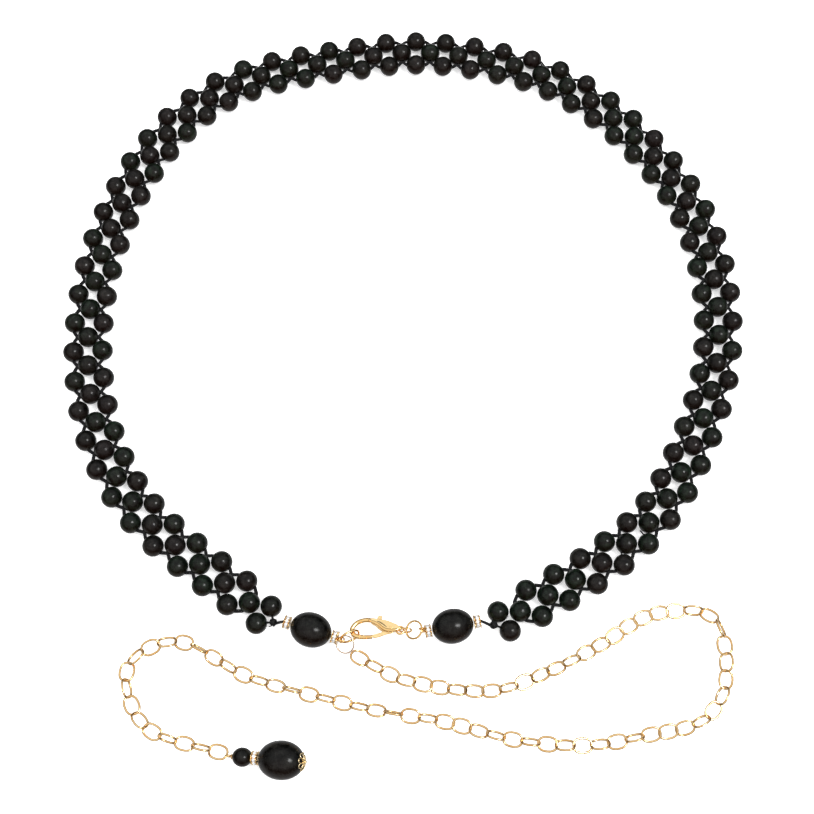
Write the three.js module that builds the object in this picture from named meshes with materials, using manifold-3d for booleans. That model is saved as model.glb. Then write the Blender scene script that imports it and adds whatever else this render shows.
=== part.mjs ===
// A beaded belt lying on a table: one row of netted round beads, a lobster clasp with an oval bead at each
// side, and a long extender chain that ends in a bead drop.
// Millimetres, +Z up. The belt lies flat with its clasp toward -Y; the origin is under the middle of the whole.
import * as THREE from 'three';
import { mergeVertices } from 'three/addons/utils/BufferGeometryUtils.js';
import Module from 'manifold-3d';

const wasm = await Module();
wasm.setup();

// Netted band
const BEAD = 8.0;
const BEAD_PLAY = 0.36;
const BEAD_FACET_GROWTH = 0.4;
const NET_ANGLE = 43.3;
const HALF_GAP = 0.3;
const END_PAIR_PLAY = 0.4;

// Thread knots
const KNOT_DIAMETER = 3.2;
const KNOT_REACH = 4.6;
const THREAD_STRAND = 1.2;

// Oval beads and rhinestone spacers beside the clasp
const OVAL_LENGTH = 15.6;
const OVAL_DIAMETER = 13.0;
const RONDELLE_DIAMETER = 5.2;
const RONDELLE_THICKNESS = 2.4;
const RONDELLE_CHAMFER = 0.4;
const SEAT = 0.3;
const LEFT_AZIMUTH = -17;
const RIGHT_AZIMUTH = 11;

// Wire eyes
const EYE_RADIUS = 1.1;
const EYE_WIRE = 0.7;

// Rings and the hooked link
const LINK_LENGTH = 8.0;
const LINK_WIDTH = 5.8;
const LINK_WIRE = 0.8;
const THIN_RING_RADIUS = 3.25;
const THIN_RING_WIRE = 0.5;
const OVAL_RING_LENGTH = 5.0;
const OVAL_RING_WIDTH = 3.2;
const OVAL_RING_WIRE = 0.7;
const ROUND_RING_RADIUS = 3.25;
const ROUND_RING_WIRE = 0.75;
const ROUND_RING_TILT = 35;
const ROUND_RING_RISE = 1.72;
const RING_PLAY = 0.484;

// Clasp
const CLASP_LENGTH = 18.9;
const CLASP_HEIGHT = 7.8;
const CLASP_MIDDLE = 2.8;
const CHEEK = 0.65;
const LEVER_THICKNESS = 0.7;
const LEVER_GAP = 0.3;
const HOOK_WIDTH = 1.4;
const HOOK_THICKNESS = 1.8;
const PIN_DIAMETER = 1.0;
const PIN_CLEARANCE = 0.35;
const HUB_WALL = 0.65;
const TAIL_HOLE = 2.2;
const TAIL_WALL = 0.62;
const TAIL_THICKNESS = 0.8;

// Drop
const DROP_BEAD = 7.0;
const DROP_OVAL_LENGTH = 17.6;
const DROP_OVAL_DIAMETER = 14.4;
const DROP_AZIMUTH = -6.1;
const CAP_DIAMETER = 6.5;
const CAP_SAG = 0.95;
const CAP_WALL = 0.5;
const PIN_HEAD_DIAMETER = 1.8;
const PIN_HEAD_HEIGHT = 0.9;

// Chain, as the tube that its links fill
const CHAIN_DIAMETER = 5.6;
const CHAIN_STEP = 11.7;

// The band's line through its centre beads, from the clasp's left end round to its right end.
const BAND_ROUTE = [
  [-58.4, -91.9], [-102.2, -55.5], [-122.9, -12.7], [-125.1, 42.1], [-107.7, 95.3],
  [-74.5, 130.4], [-21.2, 144.3], [16.0, 146.6], [62.9, 134.0], [100.5, 100.9],
  [121.9, 58.7], [123.7, 6.1], [104.0, -45.5], [80.2, -72.3], [43.1, -95.2],
];

// The chain's line on the table, from the thin ring to the drop.
const CHAIN_ROUTE = [
  [-19.7, -110.9], [0.7, -120.7], [30.5, -124.6], [51.8, -118.1], [72.0, -107.9],
  [93.4, -95.8], [115.8, -97.6], [118.6, -120.7], [109.1, -135.4], [88.2, -140.8],
  [66.0, -144.4], [40.2, -142.4], [14.8, -135.9], [-10.1, -131.8], [-34.9, -126.0],
  [-58.9, -119.0], [-84.8, -106.2], [-102.8, -116.1], [-94.6, -138.0], [-66.2, -147.3],
];

// Clasp outlines, as shares of its length and its height from the hook's left edge on its middle line.
const CHEEK_OUTLINE = [
  [0.418, 0.48], [0.556, 0.44], [0.704, 0.385], [0.81, 0.295], [0.91, 0.19], [0.984, 0.077],
  [0.995, -0.026], [0.952, -0.1], [0.857, -0.14], [0.751, -0.135], [0.624, -0.09],
  [0.556, 0.013], [0.497, 0.154], [0.413, 0.282],
];
const HOOK_LINE = [
  [0.513, 0.346], [0.423, 0.397], [0.28, 0.404], [0.132, 0.27],
  [0.037, -0.02], [0.079, -0.314], [0.222, -0.41], [0.45, -0.404],
];
const LEVER_OUTLINE = [
  [0.4365, -0.3205], [0.4635, -0.4487], [0.5556, -0.4231], [0.7037, -0.2949], [0.8413, -0.1923],
  [0.6402, 0.3974], [0.6296, 0.6026], [0.5503, 0.6026], [0.5397, 0.3718],
  [0.6296, -0.1282], [0.5079, -0.2564],
];
const PIVOT = [0.799, 0.0385];
const TAIL_EYE = [0.984, -0.077];
const SLOT_END = 0.894;
const CHEEK_END = 0.947;

const CLASP_CORNER = new THREE.Vector3(-20.5, -101.5, CLASP_MIDDLE);
const UP = new THREE.Vector3(0, 1, 0);

// Materials

function shade(color, roughness, metalness) {
  return new THREE.MeshStandardMaterial({ color, roughness, metalness });
}

function beadGlass() {
  return shade(0x15140f, 0.14, 0.0);
}

function gold() {
  return shade(0xd9ab4f, 0.26, 1.0);
}

function crystal() {
  return shade(0xe6e6e4, 0.12, 0.0);
}

function thread() {
  return shade(0x0b0b0c, 0.8, 0.0);
}

// Solids

function welded(geometry) {
  const bare = geometry.clone();
  bare.deleteAttribute('normal');
  bare.deleteAttribute('uv');
  const joined = mergeVertices(bare, 1e-4);
  const corners = Array.from(joined.index.array);
  const kept = [];
  for (let i = 0; i < corners.length; i += 3) {
    const [a, b, c] = corners.slice(i, i + 3);
    if (a !== b && b !== c && c !== a) {
      kept.push(a, b, c);
    }
  }
  joined.setIndex(kept);
  return joined;
}

function solid(geometry) {
  const closed = welded(geometry);
  return new wasm.Manifold(new wasm.Mesh({
    numProp: 3,
    vertProperties: new Float32Array(closed.attributes.position.array),
    triVerts: new Uint32Array(closed.index.array),
  }));
}

function surface(body) {
  const mesh = body.getMesh();
  const geometry = new THREE.BufferGeometry();
  geometry.setAttribute('position', new THREE.BufferAttribute(new Float32Array(mesh.vertProperties), 3));
  geometry.setIndex(new THREE.BufferAttribute(new Uint32Array(mesh.triVerts), 1));
  geometry.computeVertexNormals();
  return geometry;
}

function joinAll(geometries) {
  const bodies = geometries.map(solid);
  return surface(bodies.slice(1).reduce((sum, body) => sum.add(body), bodies[0]));
}

function piece(name, geometry, material) {
  const mesh = new THREE.Mesh(geometry, material);
  mesh.name = name;
  return mesh;
}

function turned(profile, sides) {
  return new THREE.LatheGeometry(profile.map(([r, y]) => new THREE.Vector2(r, y)), sides);
}

function ovalBead(length, diameter, sides, bands) {
  const profile = [];
  for (let i = 0; i <= bands; i += 1) {
    const angle = (Math.PI * i) / bands;
    profile.push([(diameter / 2) * Math.sin(angle), (-length / 2) * Math.cos(angle)]);
  }
  profile[0][0] = 0;
  profile[bands][0] = 0;
  return turned(profile, sides);
}

function rondelle() {
  const rim = RONDELLE_DIAMETER / 2;
  const face = RONDELLE_THICKNESS / 2;
  const cut = RONDELLE_CHAMFER;
  return turned(
    [[0, -face], [rim - cut, -face], [rim, cut - face], [rim, face - cut], [rim - cut, face], [0, face]], 10,
  );
}

function rod(points, diameter, sides, steps) {
  const section = new THREE.Shape();
  for (let i = 0; i < sides; i += 1) {
    const angle = (2 * Math.PI * i) / sides;
    const at = [(diameter / 2) * Math.cos(angle), (diameter / 2) * Math.sin(angle)];
    if (i === 0) {
      section.moveTo(...at);
    } else {
      section.lineTo(...at);
    }
  }
  const extrudePath = new THREE.CatmullRomCurve3(points, false, 'catmullrom', 0.5);
  return new THREE.ExtrudeGeometry(section, { steps, extrudePath, bevelEnabled: false });
}

function ring(radius, wire) {
  return new THREE.TorusGeometry(radius, wire / 2, 5, 12);
}

// A wire link of two half rounds and straight sides, its long way along X, lying in XY.
function ovalLink(length, width, wire) {
  const link = new THREE.TorusGeometry((width - wire) / 2, wire / 2, 5, 12);
  link.rotateZ(Math.PI / 12);
  const spots = link.attributes.position;
  for (let i = 0; i < spots.count; i += 1) {
    spots.setX(i, spots.getX(i) + Math.sign(spots.getX(i)) * (length - width) / 2);
  }
  return link;
}

// The turn that lays a piece's X along the direction and rolls it about that direction.
function laid(direction, roll) {
  const x = direction.clone().normalize();
  const side = new THREE.Vector3(0, 0, 1).cross(x).normalize();
  side.applyAxisAngle(x, THREE.MathUtils.degToRad(roll));
  const z = x.clone().cross(side);
  return new THREE.Matrix4().makeBasis(x, side, z);
}

function heading(azimuth, climb) {
  const turn = THREE.MathUtils.degToRad(azimuth);
  const rise = THREE.MathUtils.degToRad(climb);
  return new THREE.Vector3(
    Math.cos(rise) * Math.cos(turn), Math.cos(rise) * Math.sin(turn), Math.sin(rise),
  );
}

// Band

const beadFacetRadius = BEAD / 2 + BEAD_FACET_GROWTH;
const beadSeat = beadFacetRadius;
const contact = BEAD + BEAD_PLAY;

function flatCurve(points, height) {
  const spots = points.map(([x, y]) => new THREE.Vector3(x, y, height));
  const curve = new THREE.CatmullRomCurve3(spots, false, 'catmullrom', 0.5);
  curve.arcLengthDivisions = 1200;
  return curve;
}

function netBead(centre, pole, growth) {
  const bead = new THREE.SphereGeometry(beadFacetRadius + growth, 8, 4);
  const side = new THREE.Vector3(0, 0, 1).cross(pole);
  bead.applyMatrix4(new THREE.Matrix4().makeBasis(side.negate(), pole, new THREE.Vector3(0, 0, 1)));
  bead.translate(centre.x, centre.y, centre.z);
  return bead;
}

// Each unit of the net: the middle between its two centre beads, the way along the band and its half height.
function netLayout() {
  const line = flatCurve(BAND_ROUTE, beadSeat);
  const pitch = 2 * contact * Math.cos(THREE.MathUtils.degToRad(NET_ANGLE));
  const count = Math.round(line.getLength() / pitch) + 1;
  const centres = [];
  const ways = [];
  for (let i = 0; i < count; i += 1) {
    centres.push(line.getPointAt(i / (count - 1)));
    ways.push(line.getTangentAt(i / (count - 1)).normalize());
  }
  const units = [endUnit(centres[0], ways[0].clone().negate(), ways[0])];
  for (let i = 1; i < count; i += 1) {
    const chord = centres[i].clone().sub(centres[i - 1]);
    const middle = centres[i - 1].clone().addScaledVector(chord, 0.5);
    const half = Math.sqrt(contact ** 2 - (chord.length() / 2) ** 2);
    units.push({ middle, way: chord.normalize(), half });
  }
  units.push(endUnit(centres[count - 1], ways[count - 1], ways[count - 1]));
  return { centres, ways, units };
}

function endUnit(bead, outward, way) {
  const half = (BEAD + END_PAIR_PLAY) / 2;
  const reach = Math.sqrt(contact ** 2 - half ** 2);
  const lean = Math.PI / 4 - Math.asin(half / contact);
  return { middle: bead.clone().addScaledVector(outward, reach), way: way.clone(), half, outward, lean };
}

function across(way) {
  return new THREE.Vector3(-way.y, way.x, 0);
}

function unitBeads(unit) {
  const side = across(unit.way);
  return [1, -1].map((sign) => {
    const pole = unit.way.clone();
    if (unit.outward) {
      pole.copy(unit.outward).multiplyScalar(-Math.cos(unit.lean));
      pole.addScaledVector(side, sign * Math.sin(unit.lean));
    }
    return netBead(unit.middle.clone().addScaledVector(side, sign * unit.half), pole, 0);
  });
}

function bandHalf(net, firstUnit, lastUnit, firstBead, lastBead) {
  const beads = [];
  for (let i = firstUnit; i <= lastUnit; i += 1) {
    beads.push(...unitBeads(net.units[i]));
  }
  for (let i = firstBead; i <= lastBead; i += 1) {
    beads.push(netBead(net.centres[i], across(net.ways[i]), 0));
  }
  return wasm.Manifold.union(beads.map(solid));
}

const net = netLayout();
const halfway = Math.floor(net.centres.length / 2);
const neighbour = solid(netBead(net.centres[halfway], across(net.ways[halfway]), HALF_GAP));
const leftHalf = bandHalf(net, 0, halfway, 0, halfway - 1).subtract(neighbour);
const rightHalf = bandHalf(net, halfway + 1, net.units.length - 1, halfway, net.centres.length - 1);
const bandLeft = piece('band_left', surface(leftHalf), beadGlass());
const bandRight = piece('band_right', surface(rightHalf), beadGlass());

// Clasp

function claspPoint([along, up]) {
  return new THREE.Vector2(along * CLASP_LENGTH, up * CLASP_HEIGHT);
}

function plate(outline, thickness) {
  const shape = new THREE.Shape(outline.map(claspPoint));
  const slab = new THREE.ExtrudeGeometry(shape, { depth: thickness, bevelEnabled: false });
  return slab.translate(0, 0, -thickness / 2);
}

function upright([along, up], diameter, height, sides) {
  const at = claspPoint([along, up]);
  const post = new THREE.CylinderGeometry(diameter / 2, diameter / 2, height, sides);
  return post.rotateX(Math.PI / 2).translate(at.x, at.y, 0);
}

function block(x0, x1, y0, y1, z0, z1) {
  const box = new THREE.BoxGeometry(x1 - x0, y1 - y0, z1 - z0);
  return box.translate((x0 + x1) / 2, (y0 + y1) / 2, (z0 + z1) / 2);
}

const slotThickness = LEVER_THICKNESS + 2 * LEVER_GAP;
const claspThickness = slotThickness + 2 * CHEEK;

function hook() {
  const section = new THREE.Shape();
  for (let i = 0; i < 8; i += 1) {
    const angle = (Math.PI * (2 * i + 1)) / 8;
    const at = [(HOOK_THICKNESS / 2) * Math.cos(angle), (HOOK_WIDTH / 2) * Math.sin(angle)];
    if (i === 0) {
      section.moveTo(...at);
    } else {
      section.lineTo(...at);
    }
  }
  const points = HOOK_LINE.map(claspPoint).map((p) => new THREE.Vector3(p.x, p.y, 0));
  const extrudePath = new THREE.CatmullRomCurve3(points, false, 'catmullrom', 0.5);
  const bow = new THREE.ExtrudeGeometry(section, { steps: 14, extrudePath, bevelEnabled: false });
  return solid(bow).subtract(solid(gateStop()));
}

// The room that the gate's flat end keeps in front of the hook's point.
function gateStop() {
  const high = claspPoint(LEVER_OUTLINE[0]);
  const low = claspPoint(LEVER_OUTLINE[1]);
  const middle = high.clone().add(low).multiplyScalar(0.5);
  const down = low.clone().sub(high).normalize();
  const outward = new THREE.Vector2(down.y, -down.x);
  const room = new THREE.BoxGeometry(3, 2 * HOOK_WIDTH + 0.6, 2 * HOOK_THICKNESS);
  room.translate(LEVER_GAP + 0.05 - 1.5, 0, 0);
  room.rotateZ(Math.atan2(outward.y, outward.x));
  return room.translate(middle.x, middle.y, 0);
}

function claspBody() {
  const slotEnd = SLOT_END * CLASP_LENGTH;
  const cheekEnd = CHEEK_END * CLASP_LENGTH;
  const wide = CLASP_HEIGHT;
  const slot = block(-1, slotEnd, -wide, wide, -slotThickness / 2, slotThickness / 2);
  const past = CLASP_LENGTH + TAIL_HOLE;
  const above = block(cheekEnd, past, -wide, wide, TAIL_THICKNESS / 2, claspThickness);
  const below = block(cheekEnd, past, -wide, wide, -claspThickness, -TAIL_THICKNESS / 2);
  const cheeks = solid(plate(CHEEK_OUTLINE, claspThickness))
    .subtract(solid(slot))
    .subtract(solid(above))
    .subtract(solid(below));
  const tail = solid(upright(TAIL_EYE, TAIL_HOLE + 2 * TAIL_WALL, TAIL_THICKNESS, 12));
  const hole = solid(upright(TAIL_EYE, TAIL_HOLE, 2 * claspThickness, 10));
  const pin = solid(upright(PIVOT, PIN_DIAMETER, claspThickness - CHEEK, 10));
  return surface(cheeks.add(tail).subtract(hole).add(pin).add(hook()));
}

function claspLever() {
  const hubDiameter = PIN_DIAMETER + 2 * PIN_CLEARANCE + 2 * HUB_WALL;
  const arm = solid(plate(LEVER_OUTLINE, LEVER_THICKNESS));
  const hub = solid(upright(PIVOT, hubDiameter, LEVER_THICKNESS, 14));
  const bore = solid(upright(PIVOT, PIN_DIAMETER + 2 * PIN_CLEARANCE, 2 * LEVER_THICKNESS, 12));
  return surface(arm.add(hub).subtract(bore));
}

const clasp = new THREE.Group();
clasp.position.copy(CLASP_CORNER);
clasp.add(piece('clasp_body', claspBody(), gold()));
clasp.add(piece('clasp_lever', claspLever(), gold()));

function onClasp(share, rise) {
  const at = claspPoint(share);
  return new THREE.Vector3(at.x, at.y, rise).add(CLASP_CORNER);
}

// Right of the clasp: tail eye, oval ring, round ring, wire eye, spacer, oval bead, spacer.

const tailEye = onClasp(TAIL_EYE, 0);
const ovalRingCentre = tailEye.clone();
ovalRingCentre.x += (OVAL_RING_LENGTH - OVAL_RING_WIRE) / 2 - 0.1;
const claspRing = piece('clasp_ring', ovalLink(OVAL_RING_LENGTH, OVAL_RING_WIDTH, OVAL_RING_WIRE), gold());
claspRing.setRotationFromMatrix(laid(new THREE.Vector3(1, 0, 0), 65));
claspRing.position.copy(ovalRingCentre);

const ringWay = heading(0, ROUND_RING_TILT);
const roundRingCentre = ovalRingCentre.clone();
roundRingCentre.x += RING_PLAY + ROUND_RING_RADIUS * ringWay.x;
roundRingCentre.y -= 0.2;
roundRingCentre.z += ROUND_RING_RISE;
const roundRing = piece('round_ring', ring(ROUND_RING_RADIUS, ROUND_RING_WIRE), gold());
roundRing.setRotationFromMatrix(laid(ringWay, 0));
roundRing.position.copy(roundRingCentre);

const halfSection = OVAL_LENGTH / 2 + 2 * SEAT + RONDELLE_THICKNESS;
const spacerStation = OVAL_LENGTH / 2 + SEAT + RONDELLE_THICKNESS / 2;

function wireEye(name, centre, normal, stem) {
  const loop = ring(EYE_RADIUS, EYE_WIRE);
  const turn = new THREE.Quaternion().setFromUnitVectors(new THREE.Vector3(0, 0, 1), normal);
  loop.applyQuaternion(turn);
  loop.translate(centre.x, centre.y, centre.z);
  return piece(name, joinAll([loop, rod(stem, EYE_WIRE, 6, 4)]), gold());
}

// The point of the eye's loop that looks toward the target.
function loopRim(centre, normal, target) {
  const reach = target.clone().sub(centre);
  reach.addScaledVector(normal, -reach.dot(normal));
  return centre.clone().addScaledVector(reach.normalize(), EYE_RADIUS);
}

const rightEyeCentre = roundRingCentre.clone().addScaledVector(ringWay, ROUND_RING_RADIUS);
const rightWay = heading(RIGHT_AZIMUTH, 0);
const rightFace = new THREE.Vector3(
  rightEyeCentre.x + EYE_RADIUS + EYE_WIRE / 2 + 0.46, rightEyeCentre.y - 0.75, OVAL_DIAMETER / 2,
);
const rightNormal = new THREE.Vector3(0, 1, 0);
const rightEye = wireEye('eye_right', rightEyeCentre, rightNormal, [
  loopRim(rightEyeCentre, rightNormal, rightFace),
  rightFace.clone().addScaledVector(rightWay, -0.6),
  rightFace.clone().addScaledVector(rightWay, -SEAT),
]);
const rightOvalCentre = rightFace.clone().addScaledVector(rightWay, halfSection - SEAT);

// Left of the clasp: the hooked link, the wire eye, spacer, oval bead, spacer, and the thin ring.

const linkWay = heading(23.7, -12);
const linkReach = (LINK_LENGTH - LINK_WIRE) / 2;
const linkCentre = onClasp([0.168, -0.197], -0.4).addScaledVector(linkWay, -linkReach);
const hookLink = piece('hook_link', ovalLink(LINK_LENGTH, LINK_WIDTH, LINK_WIRE), gold());
hookLink.setRotationFromMatrix(laid(linkWay, 62));
hookLink.position.copy(linkCentre);

const leftEyeCentre = linkCentre.clone().addScaledVector(linkWay, -linkReach);
const leftWay = heading(LEFT_AZIMUTH, 0);
const leftFace = new THREE.Vector3(
  leftEyeCentre.x - 1.45, leftEyeCentre.y + 0.1, OVAL_DIAMETER / 2,
);
const leftNormal = new THREE.Vector3(-0.19, 0.43, 0.88).normalize();
const leftEye = wireEye('eye_left', leftEyeCentre, leftNormal, [
  loopRim(leftEyeCentre, leftNormal, leftFace),
  leftFace.clone().addScaledVector(leftWay, 0.9),
  leftFace.clone().addScaledVector(leftWay, SEAT),
]);
const leftOvalCentre = leftFace.clone().addScaledVector(leftWay, SEAT - halfSection);

const thinRing = piece('chain_ring', ring(THIN_RING_RADIUS, THIN_RING_WIRE), gold());
const thinNormal = new THREE.Vector3(-0.1055, -0.3413, 1).normalize();
thinRing.quaternion.setFromUnitVectors(new THREE.Vector3(0, 0, 1), thinNormal);
thinRing.position.copy(linkCentre).add(new THREE.Vector3(-1.8, -2.7, -1.84));

// One oval bead between its two spacers, along the group's Y.
function ovalSection(centre, way, names) {
  const section = new THREE.Group();
  section.position.copy(centre);
  section.quaternion.setFromUnitVectors(UP, way);
  const first = piece(names[0], rondelle(), crystal());
  first.position.y = -spacerStation;
  const oval = piece(names[1], ovalBead(OVAL_LENGTH, OVAL_DIAMETER, 12, 6), beadGlass());
  const last = piece(names[2], rondelle(), crystal());
  last.position.y = spacerStation;
  section.add(first, oval, last);
  return section;
}

const leftSection = ovalSection(
  leftOvalCentre, leftWay, ['rondelle_left_outer', 'oval_left', 'rondelle_left_inner'],
);
const rightSection = ovalSection(
  rightOvalCentre, rightWay, ['rondelle_right_inner', 'oval_right', 'rondelle_right_outer'],
);

// Thread knots, each with its strand to the outer face of the spacer.
function endKnot(name, unit, face, faceWay) {
  const centre = unit.middle.clone().addScaledVector(unit.outward, KNOT_REACH);
  const ball = new THREE.SphereGeometry(KNOT_DIAMETER / 2, 8, 4);
  ball.rotateX(Math.PI / 2);
  ball.translate(centre.x, centre.y, centre.z);
  const stop = face.clone().addScaledVector(faceWay, SEAT);
  const bend = face.clone().addScaledVector(faceWay, SEAT + THREAD_STRAND);
  return piece(name, joinAll([ball, rod([centre, bend, stop], THREAD_STRAND, 6, 4)]), thread());
}

const outerFace = halfSection - SEAT;
const knotLeft = endKnot(
  'knot_left', net.units[0],
  leftOvalCentre.clone().addScaledVector(leftWay, -outerFace), leftWay.clone().negate(),
);
const knotRight = endKnot(
  'knot_right', net.units[net.units.length - 1],
  rightOvalCentre.clone().addScaledVector(rightWay, outerFace), rightWay,
);

// Chain

function chainTube() {
  const line = flatCurve(CHAIN_ROUTE, CHAIN_DIAMETER / 2);
  const section = new THREE.Shape();
  const reach = CHAIN_DIAMETER / 2 / Math.cos(Math.PI / 8);
  for (let i = 0; i < 8; i += 1) {
    const angle = (Math.PI * (2 * i + 1)) / 8;
    const at = [reach * Math.cos(angle), reach * Math.sin(angle)];
    if (i === 0) {
      section.moveTo(...at);
    } else {
      section.lineTo(...at);
    }
  }
  const steps = Math.round(line.getLength() / CHAIN_STEP);
  return new THREE.ExtrudeGeometry(section, { steps, extrudePath: line, bevelEnabled: false });
}

const chain = piece('chain', chainTube(), gold());

// Drop at the chain's end, its axis rising from the small bead to the oval bead, both resting on the table.

const dropSpan = DROP_OVAL_LENGTH / 2 + DROP_BEAD / 2 + 2 * SEAT + RONDELLE_THICKNESS;
const dropClimb = THREE.MathUtils.radToDeg(Math.asin((DROP_OVAL_DIAMETER - DROP_BEAD) / 2 / dropSpan));
const dropWay = heading(DROP_AZIMUTH, dropClimb);
const dropEyeCentre = new THREE.Vector3(-64.3, -148.2, 0);
const dropBeadReach = EYE_RADIUS + SEAT + DROP_BEAD / 2 + 0.55;
dropEyeCentre.z = DROP_BEAD / 2 - dropBeadReach * dropWay.z;

function dropGroup() {
  const drop = new THREE.Group();
  drop.position.copy(dropEyeCentre);
  drop.quaternion.setFromUnitVectors(UP, dropWay);
  const bead = piece('drop_bead', ovalBead(DROP_BEAD, DROP_BEAD, 12, 6), beadGlass());
  bead.position.y = dropBeadReach;
  const spacer = piece('drop_rondelle', rondelle(), crystal());
  spacer.position.y = dropBeadReach + DROP_BEAD / 2 + SEAT + RONDELLE_THICKNESS / 2;
  const oval = piece('drop_oval', ovalBead(DROP_OVAL_LENGTH, DROP_OVAL_DIAMETER, 12, 6), beadGlass());
  oval.position.y = dropBeadReach + dropSpan;
  const cap = piece('drop_cap', flowerCap(), gold());
  cap.position.y = oval.position.y + DROP_OVAL_LENGTH / 2 + SEAT;
  drop.add(bead, spacer, oval, cap);
  return drop;
}

// The flower cap, a shallow dome on the oval bead's end, with the pin's head in its middle.
function flowerCap() {
  const rim = CAP_DIAMETER / 2;
  const head = PIN_HEAD_DIAMETER / 2;
  const crown = 1.5 * CAP_WALL;
  return turned([
    [0, 0], [rim * 0.45, -CAP_SAG * 0.4], [rim, -CAP_SAG], [rim, CAP_WALL - CAP_SAG],
    [rim * 0.65, crown - CAP_SAG * 0.45], [head, crown], [head * 0.9, crown + PIN_HEAD_HEIGHT * 0.7],
    [0, crown + PIN_HEAD_HEIGHT],
  ], 10);
}

const dropNormal = new THREE.Vector3(0, 0, 1).cross(dropWay).normalize();
const dropStop = dropEyeCentre.clone().addScaledVector(dropWay, dropBeadReach - DROP_BEAD / 2 - SEAT);
const dropEye = wireEye('drop_eye', dropEyeCentre, dropNormal, [
  loopRim(dropEyeCentre, dropNormal, dropStop),
  dropStop.clone().addScaledVector(dropWay, -0.2),
  dropStop,
]);

// The whole belt, moved so that the origin is under the middle of its box.

const belt = new THREE.Group();
belt.add(bandLeft, bandRight, knotLeft, knotRight, leftSection, rightSection);
belt.add(clasp, claspRing, roundRing, rightEye, hookLink, leftEye, thinRing);
belt.add(chain, dropGroup(), dropEye);
belt.updateMatrixWorld(true);
const box = new THREE.Box3().setFromObject(belt, true);
belt.position.set(-(box.min.x + box.max.x) / 2, -(box.min.y + box.max.y) / 2, -box.min.z);
belt.updateMatrixWorld(true);

export default belt;
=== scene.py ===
import math

import bpy
import numpy as np
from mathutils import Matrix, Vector


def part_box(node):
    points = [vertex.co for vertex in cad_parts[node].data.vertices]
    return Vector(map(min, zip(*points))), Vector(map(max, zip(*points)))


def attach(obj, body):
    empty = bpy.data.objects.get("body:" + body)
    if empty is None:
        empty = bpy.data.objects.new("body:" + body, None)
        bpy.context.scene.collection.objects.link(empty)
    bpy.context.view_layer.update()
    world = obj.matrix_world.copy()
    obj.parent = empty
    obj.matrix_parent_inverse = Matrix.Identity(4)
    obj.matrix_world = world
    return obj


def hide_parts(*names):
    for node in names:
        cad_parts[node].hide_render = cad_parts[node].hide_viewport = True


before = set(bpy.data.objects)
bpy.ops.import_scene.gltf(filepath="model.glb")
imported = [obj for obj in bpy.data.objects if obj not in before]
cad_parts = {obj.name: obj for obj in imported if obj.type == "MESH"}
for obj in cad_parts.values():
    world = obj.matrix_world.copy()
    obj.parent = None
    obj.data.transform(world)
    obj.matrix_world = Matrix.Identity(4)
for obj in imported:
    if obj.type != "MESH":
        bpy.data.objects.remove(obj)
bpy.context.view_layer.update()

MM = 0.001

# Sizes and routes of the belt, in millimetres in the model's own frame. Angles are in degrees.

# The net: a bead's size in the model and here, the distance between touching beads' middles with
# the thread's play, the angle between the band's line and that distance, and the end pair's half.
BEAD = 8.0
BEAD_SEEN = 8.28
CONTACT = 8.36
NET_ANGLE = 43.3
END_HALF = 4.2

# A bead's hole and bevel, how far the hole is seen into, and how true the beads are.
BEAD_HOLE = 0.45
BEAD_BEVEL = 0.22
OVAL_HOLE = 0.5
OVAL_BEVEL = 0.3
BEVEL_SINK = 0.8
HOLE_DEPTH = 0.55
BEAD_SQUASH = 0.985
BEAD_SHRINK = 0.006
BEAD_TILT = 0.035

KNOT_REACH = 4.6
KNOT_RISE = {"knot_right": 1.0}
KNOT_STRAND_RADIUS = 0.42
KNOT_CORE_PROFILE = [(0.05, -1.0), (0.7, -0.7), (1.0, 0), (0.7, 0.7), (0.05, 1.0)]

CLASP_LENGTH = 18.9
CLASP_HEIGHT = 7.8
CLASP_CORNER = (-20.5, -101.5)
CLASP_MIDDLE = 2.8

# The beads beside the clasp, each side with its direction and a small move along its wire.
LEFT_AZIMUTH = -17
RIGHT_AZIMUTH = 11
SLIDE = {"left": (0.3, 0.0, 0.0), "right": (-0.5, -0.3, 0.0)}
SPACER_HALF = 1.2
OVAL_HALF = 7.8
OVAL_RADIUS = 6.5
DROP_HALF = 8.8
DROP_RADIUS = 7.05
DROP_BEAD_RADIUS = 3.5
DROP_BEAD_HALF = DROP_BEAD_RADIUS + 0.2
DROP_OVAL_CLIMB = 18
DROP_OVAL_MOVE = (-0.3, 0.0, 0.06)

THREAD_RADIUS = 0.36
THREAD_TWIST = 0.5
THREAD_TAIL_RADIUS = 0.3
THREAD_LEAVES = (3.2, 4.0)
THREAD_ENTERS = (3.9, 3.1)
THREAD_LIFT = 0.10
THREAD_BOW = 0.01

# A round ring is given by its radius and wire, an oval link by its length, width and wire.
LINK = (7.8, 6.1, 0.9)
LINK_PITCH = 6.42
LINK_LIFT = 0.15
LINK_LOWEST = 1.9
LINK_STRETCH = 2.4
ROUND_RING = (3.32, 0.78)
ROUND_RING_TILT = 30
CHAIN_RING = (3.25, 0.5)
CHAIN_RING_NORMAL = (-0.1055, -0.3413, 1)
CLASP_RING = (5.0, 3.2, 0.7)
CLASP_RING_ROLL = 65
HOOK_LINK = (8.0, 5.8, 0.8)
HOOK_LINK_HEADING = (23.7, -12)
HOOK_LINK_ROLL = 62
LEFT_EYE_NORMAL = (-0.19, 0.43, 0.88)
LEFT_EYE_OFFSET = 3.6
DROP_EYE_OFFSET = 1.95
EYE_WIRE = 0.62

BAND_ROUTE = [
    (-58.4, -91.9), (-102.2, -55.5), (-122.9, -12.7), (-125.1, 42.1), (-107.7, 95.3),
    (-74.5, 130.4), (-21.2, 144.3), (16.0, 146.6), (62.9, 134.0), (100.5, 100.9),
    (121.9, 58.7), (123.7, 6.1), (104.0, -45.5), (80.2, -72.3), (43.1, -95.2),
]

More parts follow.
